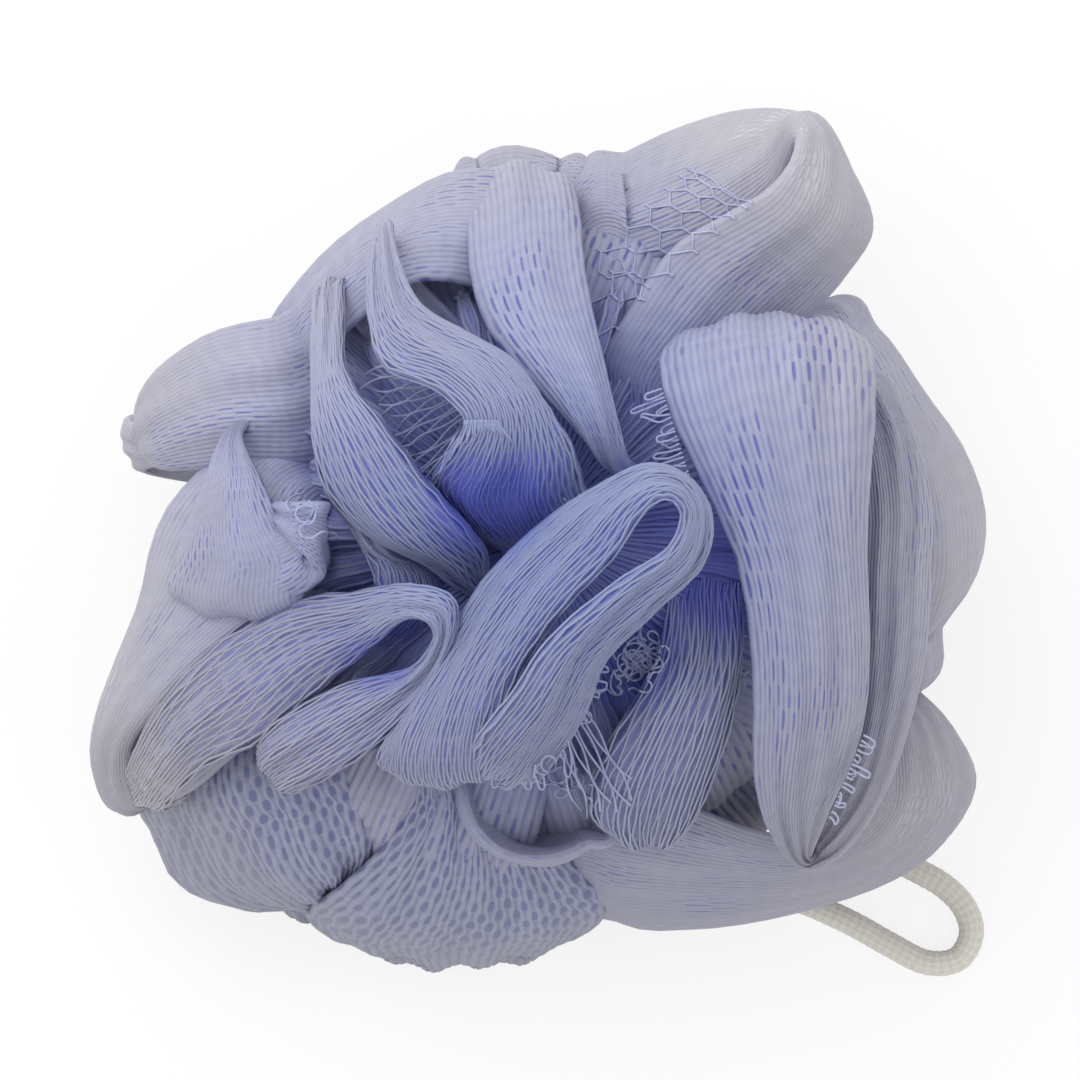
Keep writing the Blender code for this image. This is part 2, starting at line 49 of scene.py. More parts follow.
# Fold rows: both edges of a flattened tube of net at one place along it, x and y in hundredths of
# the half width, and the level from 0 at the table to crownLevel at the top
foldRows = {
    "centreLoop": [
        ((-6, -2, 56), (4, -6, 58)),
        ((-20, -28, 50), (-2, -30, 56)),
        ((-33, -46, 54), (-8, -48, 64)),
        ((-36, -50, 60), (-10, -52, 72)),
        ((-35, -47, 66), (-9, -47, 80)),
        ((-25, -33, 70), (-5, -32, 85)),
        ((-13, -12, 76), (5, -17, 89)),
        ((2, 3, 79), (16, -5, 91)),
        ((14, 9.5, 81), (21, 3, 92)),
        ((24, 13.5, 83), (26, 7.5, 93)),
        ((32, 11, 84), (30, 7, 93)),
        ((36.5, 3, 84), (31.5, 3, 92)),
        ((35, -6, 82), (28, -4, 91)),
        ((26, -15, 79), (17, -11, 91)),
        ((14, -27, 76), (3, -23, 91)),
        ((10, -38, 72), (-6, -36, 89)),
        ((2, -50, 66), (-14, -46, 85)),
        ((0, -52, 57), (-14, -50, 72)),
        ((4, -46, 48), (-8, -44, 58)),
        ((6, -8, 54), (-4, -10, 56)),
    ],
    "upperWave": [
        ((-4, 6, 54), (6, 4, 54)),
        ((-22, 36, 50), (-12, 40, 50)),
        ((-34, 58, 54), (-30, 60, 54)),
        ((-36, 67, 62), (-33, 69, 62)),
        ((-38.5, 56, 70), (-31, 59, 68)),
        ((-37.5, 44, 75), (-26, 50, 72)),
        ((-34, 36.5, 79), (-16, 44, 75)),
        ((-23, 32, 83), (-6, 38, 78)),
        ((-16.5, 25, 85), (1, 29, 80)),
        ((-20, 18, 80), (7, 20, 79)),
        ((-24, 11, 72), (9.5, 12, 76)),
        ((-18, 3, 64), (12, 4, 70)),
        ((-6, -4, 56), (8, -2, 58)),
    ],
    "leftLongFold": [
        ((-6, 4, 52), (-2, 6, 54)),
        ((-34, 38, 46), (-26, 42, 46)),
        ((-48, 52, 52), (-42, 56, 52)),
        ((-50.5, 44, 64), (-43.5, 48, 63)),
        ((-50.5, 31, 70), (-42.5, 35, 72)),
        ((-50, 19, 72), (-34, 24, 77)),
        ((-47, 9, 71), (-25, 12, 77)),
        ((-38, 0, 68), (-17, 3, 75)),
        ((-26, -5, 64), (-12, -4, 70)),
        ((-15, -12, 58), (-10.5, -10, 62)),
        ((-6, -8, 54), (-2, -4, 56)),
    ],
    "leftCurl": [
        ((-8, 2, 50), (-6, 6, 52)),
        ((-46, 12, 62), (-36, 14, 66)),
        ((-42, 1, 65), (-33, -2, 64)),
        ((-38, -6, 65), (-27, -8, 59)),
        ((-36.5, -12, 65), (-22, -12, 57)),
        ((-39, -17, 61), (-24, -18, 54)),
        ((-44, -20, 54), (-30, -24, 48)),
        ((-12, -8, 50), (-8, -12, 50)),
    ],
    "smallLoop": [
        ((-10, -6, 50), (-6, -12, 50)),
        ((-60, -30, 34), (-50, -44, 34)),
        ((-88, -50, 30), (-80, -60, 32)),
        ((-91, -50, 38), (-82, -60, 39)),
        ((-84, -36, 46), (-74, -52, 45)),
        ((-71, -23, 52), (-61, -46, 53)),
        ((-56, -15, 60), (-48, -34, 62)),
        ((-41, -13, 71), (-37, -25, 70)),
        ((-30, -11.5, 79), (-30, -19, 76)),
        ((-20, -14, 81), (-25, -19.5, 78)),
        ((-18.5, -22, 79), (-23.5, -23.5, 76)),
        ((-23, -33, 73), (-29, -30, 70)),
        ((-33, -45, 66), (-43, -33, 64)),
        ((-46, -54, 58), (-58, -41, 57)),
        ((-54, -57.5, 52), (-62, -46, 50)),
        ((-48, -52, 42), (-54, -42, 42)),
        ((-10, -14, 50), (-12, -8, 50)),
    ],
    "leftSweep": [
        ((-8, 6, 50), (-8, -2, 50)),
        ((-50, 20, 40), (-40, 4, 44)),
        ((-66, 20, 46), (-48, 3, 54)),
        ((-79, 11, 46), (-46.5, -6, 57)),
        ((-86, 0, 44), (-52, -14, 57)),
        ((-89.5, -15, 40), (-62, -20, 55)),
        ((-94.5, -28, 36), (-73, -28, 51)),
        ((-99, -42, 32), (-84, -39, 46)),
        ((-99.5, -53, 27), (-91, -48, 38)),
        ((-94, -61, 20), (-89, -59, 28)),
        ((-80, -52, 14), (-74, -44, 18)),
        ((-16, -12, 36), (-12, -4, 34)),
    ],
    "leftCone": [
        ((-10, 4, 50), (-6, 8, 50)),
        ((-56, 22, 46), (-54, 26, 46)),
        ((-70, 21, 56), (-66, 23, 56)),
        ((-75, 10, 59), (-62, 12, 64)),
        ((-79, 1, 56), (-57, 2, 66)),
        ((-81, -6, 53), (-52, -5, 67)),
        ((-82, -13, 48), (-52, -14, 62)),
        ((-66, -14, 42), (-46, -12, 52)),
        ((-12, -8, 50), (-8, -2, 50)),
    ],
    "coneLip": [
        ((-76, -2, 50), (-74, -15, 46)),
        ((-66, 0, 60), (-66, -16, 56)),
        ((-57, 3, 66), (-58, -15.5, 61)),
        ((-50.5, 6, 70), (-52, -13, 65)),
        ((-47.5, 7, 73), (-49, -10, 69)),
        ((-49.5, 7, 76), (-51, -6, 73)),
        ((-54, 7, 74), (-55, -2, 72)),
        ((-58, 7, 68), (-58, 1, 67)),
        ((-59, 7, 58), (-58, 2, 58)),
    ],
    "leftOuter": [
        ((-8, 8, 50), (-8, 0, 50)),
        ((-44, 50, 44), (-44, 12, 46)),
        ((-60, 48, 48), (-58, 13, 50)),
        ((-73, 45, 46), (-68, 14, 49)),
        ((-84, 38, 42), (-77, 14, 45)),
        ((-89, 31, 36), (-83, 14, 39)),
        ((-90, 24, 28), (-86, 15, 30)),
        ((-86, 26, 18), (-82, 12, 20)),
        ((-14, 10, 34), (-14, 2, 34)),
    ],
    "upperLeftDome": [
        ((-12, 4, 50), (-8, 2, 50)),
        ((-52, 34, 38), (-40, 28, 48)),
        ((-59, 45, 36), (-47, 40, 52)),
        ((-55.5, 52.5, 38), (-42, 46, 56)),
        ((-46, 63.5, 40), (-35, 52, 58)),
        ((-34, 72.5, 42), (-28, 56, 59)),
        ((-21, 80, 43), (-20, 56, 58)),
        ((-8, 81, 42), (-12, 54, 55)),
        ((4, 76, 38), (-4, 50, 50)),
        ((4, 12, 50), (-2, 8, 50)),
    ],
    "topTab": [
        ((-8, 10, 34), (-6, 8, 34)),
        ((-18, 76, 30), (-14, 66, 34)),
        ((-14, 84, 29), (-11, 70, 34)),
        ((-6, 86.5, 28), (-5, 72, 34)),
        ((4, 83.5, 28), (3, 72, 34)),
        ((11, 78, 30), (9, 68, 34)),
        ((8, 12, 34), (4, 10, 34)),
    ],
    "upperMidRib": [
        ((-6, 10, 50), (4, 10, 50)),
        ((-18, 62, 34), (6, 62, 34)),
        ((-18, 78, 40), (7, 77, 40)),
        ((-16.5, 70, 52), (9, 71, 51)),
        ((-15.5, 57, 63), (10, 59, 62)),
        ((-12, 46, 69), (12, 48, 67)),
        ((-5, 37, 73), (14.5, 37, 71)),
        ((4, 27, 75), (17, 26, 73)),
        ((12, 18, 72), (20, 16, 71)),
        ((17, 11, 64), (24, 12, 66)),
        ((2, 4, 56), (8, 2, 56)),
    ],
    "upperRightPetal": [
        ((2, 12, 34), (6, 6, 50)),
        ((8, 78, 30), (12, 58, 40)),
        ((20, 85.5, 30), (22, 60, 40)),
        ((32, 91, 32), (33, 64, 42)),
        ((45, 94.5, 34), (44, 70, 44)),
        ((56, 94.5, 39), (53, 78, 48)),
        ((61, 92, 44), (57, 88, 56)),
        ((68, 82, 45), (56, 83, 60)),
        ((74, 69, 45), (50, 76, 62)),
        ((70, 60, 44), (40, 70, 61)),
        ((61, 49, 45), (29, 63, 59)),
        ((50, 38, 47), (20, 50, 57)),
        ((40, 25, 49), (14, 38, 55)),
        ((33, 12, 50), (16, 22, 52)),
        ((8, 4, 50), (4, 8, 50)),
    ],
    "rightFold": [
        ((8, -4, 50), (10, 2, 50)),
        ((24, 16, 50), (58, 18, 50)),
        ((27, 34, 56), (72, 36, 56)),
        ((29, 41, 62), (71, 43, 62)),
        ((26.5, 38, 69), (74, 40, 68)),
        ((29, 26, 74), (74.5, 27, 71)),
        ((37.5, 8, 76), (73, 8, 71)),
        ((43.5, -6, 76), (72.5, -6, 69)),
        ((46.5, -22, 74), (73, -22, 66)),
        ((47.5, -38, 70), (72.5, -38, 62)),
        ((47.5, -52, 63), (69.5, -50, 57)),
        ((50, -64, 55), (64, -62, 51)),
        ((57, -74, 47), (60, -71, 47)),
        ((66, -73, 45), (61, -68, 42)),
        ((76, -60, 48), (66, -56, 46)),
        ((82, -44, 52), (68, -42, 51)),
        ((86, -26, 55), (69, -27, 54)),
        ((87, -8, 56), (69, -10, 56)),
        ((87, 8, 54), (69, 6, 56)),
        ((82, 26, 50), (66, 22, 53)),
        ((70, 34, 44), (56, 26, 46)),
        ((14, 6, 34), (12, 0, 34)),
    ],
    "farRightSheet": [
        ((10, 8, 50), (14, 4, 34)),
        ((52, 36, 44), (64, 50, 34)),
        ((58, 36, 50), (76, 45, 35)),
        ((62, 24, 53), (86, 31, 34)),
        ((64, 11, 54), (94.5, 19, 33)),
        ((65, -3, 54), (99.5, 5, 31)),
        ((66, -15, 51), (98, -8, 29)),
        ((67, -25, 46), (90, -19, 27)),
        ((66, -35, 40), (82, -30, 25)),
        ((14, -6, 36), (14, -2, 34)),
    ],
    "lowerRightSheet": [
        ((14, -4, 34), (12, -2, 34)),
        ((70, -26, 22), (62, -34, 32)),
        ((86, -37, 24), (74, -44, 37)),
        ((94, -46, 24), (74, -52, 39)),
        ((97.5, -56, 23), (72, -60, 40)),
        ((92, -67, 21), (66, -66, 40)),
        ((81, -75.5, 20), (57, -68, 40)),
        ((66, -82, 18), (46, -66, 41)),
        ((50, -86.5, 17), (36, -62, 43)),
        ((35, -88.5, 15), (25, -58, 44)),
        ((20, -87.5, 14), (12, -54, 44)),
        ((6, -76, 14), (2, -46, 44)),
        ((0, -12, 34), (2, -8, 50)),
    ],
    "frontFan": [
        ((4, -6, 52), (8, -2, 52)),
        ((28, -8, 50), (42, -6, 50)),
        ((28, -18, 57), (45, -16, 55)),
        ((25, -30, 63), (45, -30, 58)),
        ((18, -42, 63), (43, -42, 59)),
        ((12, -53, 60), (39, -54, 56)),
        ((11, -62, 55), (35, -63, 51)),
        ((17, -66.5, 46), (31, -66.5, 45)),
        ((18, -58, 37), (32, -56, 37)),
        ((4, -10, 50), (10, -8, 50)),
    ],
    "leftInner": [
        ((-10, -6, 50), (-8, -2, 50)),
        ((-46, -4, 44), (-38, -22, 50)),
        ((-64, -12, 43), (-52, -36, 46)),
        ((-82, -24, 38), (-66, -48, 40)),
        ((-93, -40, 32), (-78, -58, 34)),
        ((-95, -50, 25), (-86, -61, 28)),
        ((-84, -46, 16), (-74, -56, 18)),
        ((-14, -10, 34), (-10, -14, 34)),
    ],
    "bottomLeftPetal": [
        ((-12, -8, 34), (-4, -10, 34)),
        ((-76, -46, 20), (-30, -38, 40)),
        ((-90, -58, 22), (-31, -46, 44)),
        ((-87, -68, 19), (-28, -53, 43)),
        ((-81.5, -78.5, 16), (-28, -60, 39)),
        ((-70, -83, 13), (-32, -66, 34)),
        ((-60, -82.5, 11), (-38, -72, 28)),
        ((-50, -80, 7), (-40, -70, 20)),
        ((-8, -14, 34), (-6, -10, 36)),
    ],
    "bottomPetal": [
        ((-6, -10, 50), (0, -12, 50)),
        ((-25, -46, 49), (-12, -48, 46)),
        ((-28, -60, 46), (-4, -61, 41)),
        ((-36, -71, 38), (6, -72, 34)),
        ((-46, -80, 28), (13, -80, 27)),
        ((-53, -85, 17), (15, -85, 18)),
        ((-47, -89, 9), (9, -89, 10)),
        ((-38, -83, 3), (4, -83, 3)),
        ((-8, -12, 32), (0, -14, 32)),
    ],
    "bottomCup": [
        ((-4, -10, 50), (-2, -12, 34)),
        ((-16, -48, 50), (-9, -48, 38)),
        ((-17, -58, 51), (-9, -57, 36)),
        ((-14, -66, 50), (-7, -62, 34)),
        ((-7, -71.5, 48), (-3, -65, 33)),
        ((2, -72.5, 47), (2, -65.5, 33)),
        ((10, -69.5, 47), (7, -62, 34)),
        ((17, -63, 48), (10, -56, 36)),
        ((6, -12, 50), (4, -10, 34)),
    ],
}


def plan(place):
    x, y, level = place
    return np.array([x * halfWidth / 100, y * halfWidth / 100, level * poufHeight / crownLevel])


def spline(points, t):
    # Catmull-Rom, t from 0 to 1
    spans = len(points) - 1
    at = min(max(t, 0.0), 1.0) * spans
    i = min(int(at), spans - 1)
    f = at - i
    a, b, c, d = points[max(i - 1, 0)], points[i], points[i + 1], points[min(i + 2, spans)]
    return 0.5 * (2 * b + (c - a) * f + (2 * a - 5 * b + 4 * c - d) * f**2 + (3 * b - a - 3 * c + d) * f**3)


def unit(vectors):
    return vectors / np.maximum(np.linalg.norm(vectors, axis=-1, keepdims=True), 1e-9)


def evenRows(rows, is_):
    # both edges at steps along the fold that close up where it bends
    first = [plan(row[0]) for row in rows]
    second = [plan(row[1]) for row in rows]
    centre = [(a + b) / 2 for a, b in zip(first, second)]
    ticks = is_["ticks"] * len(rows)
    walk = np.array([spline(centre, k / ticks) for k in range(ticks + 1)])
    parts = np.linalg.norm(np.diff(walk, axis=0), axis=1)
    ways = unit(np.diff(walk, axis=0))
    turns = np.arccos(np.clip((ways[1:] * ways[:-1]).sum(1), -1, 1))
    effort = parts / (is_["step"] / is_["round"]) + np.append(turns, 0.0) / is_["bend"]
    effort = np.concatenate([[0.0], np.cumsum(effort)])
    count = max(is_["fewestRows"], round(effort[-1]))
    at = np.interp(np.linspace(0, effort[-1], count + 1), effort, np.arange(ticks + 1) / ticks)
    x, y, level = np.array([spline(centre, t) for t in at]).T
    shown = np.flatnonzero((np.hypot(x, y) > hiddenReach) | (level > hiddenLevel))
    at = at[max(shown[0] - 1, 0):shown[-1] + 2]
    return np.array([spline(first, t) for t in at]), np.array([spline(second, t) for t in at])


net = {
    "strand": 0.00040,
    "pitch": 0.00092,
    "step": 0.0046,
    "round": 1,  # rows in a step
    "bend": 0.30,  # the turn between two rows, in radians, past which they close up
    "ticks": 40,  # how finely a fold is walked along, for each row placed by hand
    "fewestRows": 6,
    "slit": 0.24,  # how far two strands part, in pitches
    "uneven": 0.5,  # the share by which slits differ in size
    "fullness": 1.05,  # how much wider the net lies when it is cut than it is gathered here
    "puff": 0.0030,
    "leastPuff": 0.3,  # what a fold keeps of its puff where it is drawn to a point
    "pleatDepth": 0.00035,
    "pleatWidth": 0.0070,
    "drift": (1.5, 60),  # how far pleats wander to the side and how fast along the fold
    "wrinkle": (0.7, 7, 150),  # finer folds on the pleats: their share, and how fast across and along
    "crown": 0.10,
    "wander": 0.00004,
    "inset": -0.00018,
    "woven": True,  # ribs in one closed sheet, or else strands that lie on their lining
    "open": False,
    "rib": 0.00016,
    "shoulder": 0.75,  # the height of a rib's edges, as a share of its middle's
    "groove": 0.13,
    "wall": 0.00045,
    "merge": 0.000001,
}


def foldFrame(rows, is_, seed):
    # the fold's centre line, its directions and the shape of its flattened section
    left, right = evenRows(rows, is_)
    across = right - left
    width = np.linalg.norm(across, axis=1)
    centre = (left + right) / 2
    across = unit(across)
    normal = unit(np.cross(unit(np.gradient(centre, axis=0)), across))
    if (normal * (centre - np.array(middle))).sum() < 0:
        normal = -normal
    flat = float(np.percentile(width, 85))
    phases = np.random.default_rng(seed).uniform(0, 2 * math.pi, 4)
    u = np.arange(len(centre)) * is_["step"] / is_["round"]
    pleats = max(1, round(flat / is_["pleatWidth"]))
    drift, slow = is_["drift"]
    wrinkle, fastAcross, fastAlong = is_["wrinkle"]

    def surface(turn, inset=0.0):
        # points along the fold at one place round its section, turn from 0 to 1
        turn = turn % 1.0
        s = np.clip(np.where(turn < 0.5, 4 * turn - 1, 3 - 4 * turn), -1, 1)
        rim = np.sqrt(np.maximum(1 - np.abs(s) ** 4, 0.0))
        puff = is_["puff"] * np.minimum(1.0, width / flat + is_["leastPuff"])
        pleat = np.sin(math.pi * pleats * (s + 1) + phases[0] + drift * np.sin(slow * u + phases[1]))
        pleat = is_["pleatDepth"] * (pleat + wrinkle * np.sin(fastAcross * s + fastAlong * u + phases[2]))
        side = np.where(turn < 0.5, 1, -1)
        lift = side * rim * (puff / 2 - inset) + pleat * rim + is_["crown"] * width * (1 - s**2)
        points = centre + across * (s * (width / 2 - inset))[:, None] + normal * lift[:, None]
        points[:, 2] = np.maximum(points[:, 2], is_["strand"])
        return points

    length = float(np.linalg.norm(np.diff(centre, axis=0), axis=1).sum())
    mean = float(np.average(width, weights=np.linalg.norm(np.gradient(centre, axis=0), axis=1)))
    return surface, len(centre), flat, mean, length


def addPiece(name, bm, materials, stands):
    mesh = bpy.data.meshes.new(name)
    bm.to_mesh(mesh)
    bm.free()
    for material in materials:
        mesh.materials.append(material)
    piece = bpy.data.objects.new(name, mesh)
    bpy.context.scene.collection.objects.link(piece)
    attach(piece, "root")
    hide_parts(stands)
    return piece


def roundLines(name, lines, radius, roundness):
    # lines of points as thin round strands in one bmesh, with closed ends
    curve = bpy.data.curves.new(name, "CURVE")
    curve.dimensions = "3D"
    curve.bevel_depth = radius
    curve.bevel_resolution = roundness
    curve.use_fill_caps = True
    for points in lines:
        line = curve.splines.new("POLY")
        line.points.add(len(points) - 1)
        line.points.foreach_set("co", np.hstack([points, np.ones((len(points), 1))]).ravel())
    holder = bpy.data.objects.new(name, curve)
    bpy.context.scene.collection.objects.link(holder)
    mesh = bpy.data.meshes.new_from_object(holder.evaluated_get(bpy.context.evaluated_depsgraph_get()))
    bpy.data.objects.remove(holder)
    bm = bmesh.new()
    bm.from_mesh(mesh)
    bpy.data.meshes.remove(mesh)
    bmesh.ops.remove_doubles(bm, verts=[v for v in bm.verts if v.is_boundary], dist=net["merge"])
    for face in bm.faces:
        face.smooth = True
    return bm


def partings(is_, steps, j):
    # how far a strand may sway from its place at each step, and which way it sways there
    uneven = is_["uneven"] * np.sin(0.55 * steps + 0.35 * j) * math.sin(0.23 * j + 1.3)
    return is_["slit"] / 2 * (1 + uneven), np.cos(math.pi * (steps + j))


def strandNet(name, surface, count, strands, linings, is_, rng):
    # zigzag strands side by side, and under them the net's inner layers as one thin closed tube, its
    # pattern laid out in UV by strand and step
    steps = np.arange(count) / is_["round"]
    lines = []
    for j in range(strands):
        parting, sway = partings(is_, steps, j)
        points = surface((j + 0.5 + rng.uniform(-0.12, 0.12) + sway * parting) / strands)
        lines.append(points + rng.normal(0, is_["wander"], (count, 3)))
    bm = roundLines(name, lines, is_["strand"], 0)
    columns = max(10, linings // 2)
    rings = [surface(np.full(count, c / columns), is_["inset"]) for c in range(columns)]
    spots = [c / columns * linings for c in range(columns + 1)]
    addTube(bm, rings, spots, 1 / is_["round"], part=1, merge=10 * is_["merge"])
    bmesh.ops.holes_fill(bm, edges=[edge for edge in bm.edges if edge.is_boundary], sides=0)
    return bm


def addTube(bm, rings, spots, reach, part=0, merge=net["merge"]):
    # rings of points along the fold, one for each place round it, as an open tube with its pattern in UV
    columns, count = len(rings), len(rings[0])
    pattern = bm.loops.layers.uv.verify()
    mark = bm.verts.layers.int.get("end") or bm.verts.layers.int.new("end")
    grid = bmesh.ops.create_grid(bm, x_segments=columns, y_segments=count - 1, size=1.0)["verts"]
    places = {}
    for vertex in grid:
        column = round((vertex.co.x + 1) / 2 * columns)
        row = round((vertex.co.y + 1) / 2 * (count - 1))
        places[vertex] = (spots[column], row * reach)
        vertex[mark] = 1 if row == 0 else 2 if row == count - 1 else 0
        vertex.co = rings[column % columns][row]
    for face in {face for vertex in grid for face in vertex.link_faces}:
        face.material_index = part
        face.smooth = True
        for loop in face.loops:
            loop[pattern].uv = places[loop.vert]
    bmesh.ops.remove_doubles(bm, verts=grid, dist=merge)
    return mark


def wovenNet(surface, count, strands, is_, rng):
    # net drawn close: ribs side by side that part in slits, and an inside wall that meets them at the ends
    bm = bmesh.new()
    steps = np.arange(count) / is_["round"]
    low, shoulder = np.zeros(count), is_["shoulder"]
    rings, spots = [], []
    for j in range(strands):
        parting, sway = partings(is_, steps, j)
        left = is_["groove"] + np.maximum(sway, 0.0) * parting
        right = 1 - is_["groove"] - np.maximum(-sway, 0.0) * parting
        rib = is_["rib"] * rng.uniform(0.75, 1.25)
        for place, height in ((low, 0.0), (left, shoulder), ((left + right) / 2, 1.0), (right, shoulder)):
            rings.append(surface((j + place) / strands, -rib * height))
        spots += [j, j + 0.25, j + 0.5, j + 0.75]
    addTube(bm, rings, spots + [strands], 1 / is_["round"])
    columns = max(10, strands // 2)
    inside = [surface(np.full(count, c / columns), is_["wall"]) for c in range(columns)]
    mark = addTube(bm, inside, [0.5] * (columns + 1), 0.0)
    for end in (1, 2):
        rim = [edge for edge in bm.edges if edge.is_boundary and all(v[mark] == end for v in edge.verts)]
        bmesh.ops.bridge_loops(bm, edges=rim)
    bmesh.ops.recalc_face_normals(bm, faces=bm.faces)
    return bm


def netFold(name, rows, seed, **changes):
    # a flattened tube of diamond net
    is_ = {**net, **changes}
    rng = np.random.default_rng(seed)
    surface, count, flat, mean, length = foldFrame(rows, is_, seed)
    strands = 2 * max(4, round(flat / is_["pitch"]))
    if is_["woven"]:
        bm = wovenNet(surface, count, strands, is_, rng)
        materials = [openWovenMaterial if is_["open"] else wovenMaterial]
    else:
        bm = strandNet(name, surface, count, strands, strands, is_, rng)
        materials = [openNetMaterial, openLiningMaterial] if is_["open"] else [netMaterial, liningMaterial]
    piece = addPiece(name, bm, materials, "mesh_net")
    cut = (2 * mean if is_["woven"] else strands * is_["pitch"]) * is_["fullness"]
    piece.data.calc_loop_triangles()
    return len(piece.data.loop_triangles)


class Value:
    # a socket that takes part in Python maths
    def __init__(self, nodes, socket):
        self.nodes, self.socket = nodes, socket

    def maths(self, operation, *others):
        return self.nodes.add("ShaderNodeMath", {"operation": operation}, self, *others)

    def __add__(self, other):
        return self.maths("ADD", other)

    __radd__ = __add__

    def __mul__(self, other):
        return self.maths("MULTIPLY", other)

    __rmul__ = __mul__

    def __sub__(self, other):
        return self.maths("SUBTRACT", other)

    def __rsub__(self, other):
        return self.nodes.add("ShaderNodeMath", {"operation": "SUBTRACT"}, other, self)

    def __truediv__(self, other):
        return self.maths("DIVIDE", other)

    def __pow__(self, other):
        return self.maths("POWER", other)

    def within(self, most=1.0):
        return self.maths("MAXIMUM", 0.0).maths("MINIMUM", most)


class Finish:
    # a material's node tree
    def __init__(self, name):
        self.material = bpy.data.materials.new(name)
        self.material.use_nodes = True
        self.tree = self.material.node_tree
        self.shader = self.tree.nodes["Principled BSDF"]
        self.output = self.tree.nodes["Material Output"]

    def add(self, kind, settings, *values, out=0, **named):
        node = self.tree.nodes.new(kind)
        for key, value in settings.items():
            if key == "stops":
                ramp = node.color_ramp
                for index, (place, colour) in enumerate(value):
                    stop = ramp.elements[index] if index < 2 else ramp.elements.new(place)
                    stop.position, stop.color = place, (*colour, 1)
            else:
                setattr(node, key, value)
        sockets = [socket for socket in node.inputs if socket.enabled]
        for socket, value in zip(sockets, values):
            self.put(socket, value)
        for socket, value in named.items():
            self.put(node.inputs[socket], value)
        return Value(self, [socket for socket in node.outputs if socket.enabled][out])

    def put(self, socket, value):
        if isinstance(value, Value):
            self.tree.links.new(value.socket, socket)
        else:
            socket.default_value = value

    def split(self, place):
        first = self.add("ShaderNodeSeparateXYZ", {}, place)
        return [Value(self, socket) for socket in first.socket.node.outputs]

    def mix(self, share, first, second):
        return self.add("ShaderNodeMix", {"data_type": "RGBA"}, share, first, second)

    def paint(self, base, roughness):
        self.put(self.shader.inputs["Base Color"], base)
        self.put(self.shader.inputs["Roughness"], roughness)
        return self.material


def colour(red, green, blue):
    # sRGB 0-255 to linear
    def one(c):
        c = c / 255
        return c / 12.92 if c <= 0.04045 else ((c + 0.055) / 1.055) ** 2.4
    return one(red), one(green), one(blue)


# Colours from the middle of the pouf to its outside, as (share of the way out, colour). Each row turns
# paler towards the outside: painted light, standing for the white behind shining through the thin outer net
netFinish = {
    "strands": [(0.10, (134, 145, 184)), (0.40, (145, 151, 184)), (0.65, (157, 159, 184)),
                (0.88, (168, 167, 180)), (1.0, (176, 174, 181))],
    # The lining, slits, openLining and openSlits rows are darker than their strands: painted shade on the
    # layers below and in the gaps where strands part. The slits' pale outer end is painted light
    "lining": [(0.10, (114, 125, 175)), (0.40, (126, 133, 175)), (0.65, (141, 144, 176)),
               (0.88, (156, 155, 173)), (1.0, (166, 164, 174))],
    "slits": [(0.10, (64, 76, 156)), (0.40, (80, 88, 162)), (0.65, (98, 102, 166)),
              (0.88, (124, 126, 172)), (1.0, (200, 200, 212))],
    "openStrands": [(0.10, (150, 160, 196)), (0.40, (158, 166, 198)), (0.65, (156, 160, 188)),
                    (0.88, (157, 160, 184)), (1.0, (164, 164, 178))],
    "openLining": [(0.10, (90, 100, 168)), (0.40, (122, 128, 178)), (0.65, (122, 125, 164)),
                   (0.88, (130, 133, 162)), (1.0, (150, 150, 164))],
    "openSlits": [(0.10, (60, 70, 152)), (0.40, (78, 86, 156)), (0.65, (92, 97, 150)),
                  (0.88, (104, 108, 148)), (1.0, (140, 140, 158))],
    "threads": [(0.10, (138, 148, 190)), (0.40, (152, 160, 197)), (0.65, (168, 172, 204)),
                (0.88, (178, 179, 206)), (1.0, (186, 186, 204))],
    "roughness": 0.5,
    "reach": 0.066,  # what counts as the outside, from the axis
    "under": (0.028, 0.034),  # below this level the net counts as further out, so it takes more of the painted light, and over what run
    "rise": (0.030, 0.052),  # the level of the pouf's inside and how far it reaches up from there
    "cloud": 0.22,
    "cloudScale": 55.0,
    # painted shade: the deep blue laid over the net in the pouf's inside and its hollows, then where it
    # begins, how fast it grows and its most
    "depth": (72, 82, 184),
    "depthFrom": 0.66,
    "depthRise": 2.4,
    "deepest": 0.85,
    # hollows painted with the deep blue as painted shade: x, y and level as in the folds, then radius in
    # metres
    "shadedHollows": [((28, 3, 66), 0.0095), ((-32, -24, 64), 0.0070), ((42, -10, 56), 0.0090),
                ((-9, 8, 74), 0.0085), ((-28, 24, 66), 0.0080), ((21, -28, 56), 0.0080)],
    "hollowDepth": 0.75,
    "hollowReach": 1.5,  # where a hollow's painted shade ends, in its radii
    "shadeGrey": (122, 124, 150),  # painted shade: the net greys towards the side that faces away from the light
    "shadeGreyFrom": -0.012,
    "shadeGreyRun": 0.050,
    "shadeGreyMost": 0.42,
}


def netColour(f, tones, spread):
    # one row of tones by how far out it lies, greyed with painted shade on the side away from the light,
    # and turned deep blue as painted shade in the pouf's inside and its hollows
    stops = [(place, colour(*rgb)) for place, rgb in netFinish[tones]]
    ramp = f.add("ShaderNodeValToRGB", {"stops": stops}, spread[0])
    greyed = f.mix(spread[2], ramp, (*colour(*netFinish["shadeGrey"]), 1))
    return f.mix(spread[1], greyed, (*colour(*netFinish["depth"]), 1))


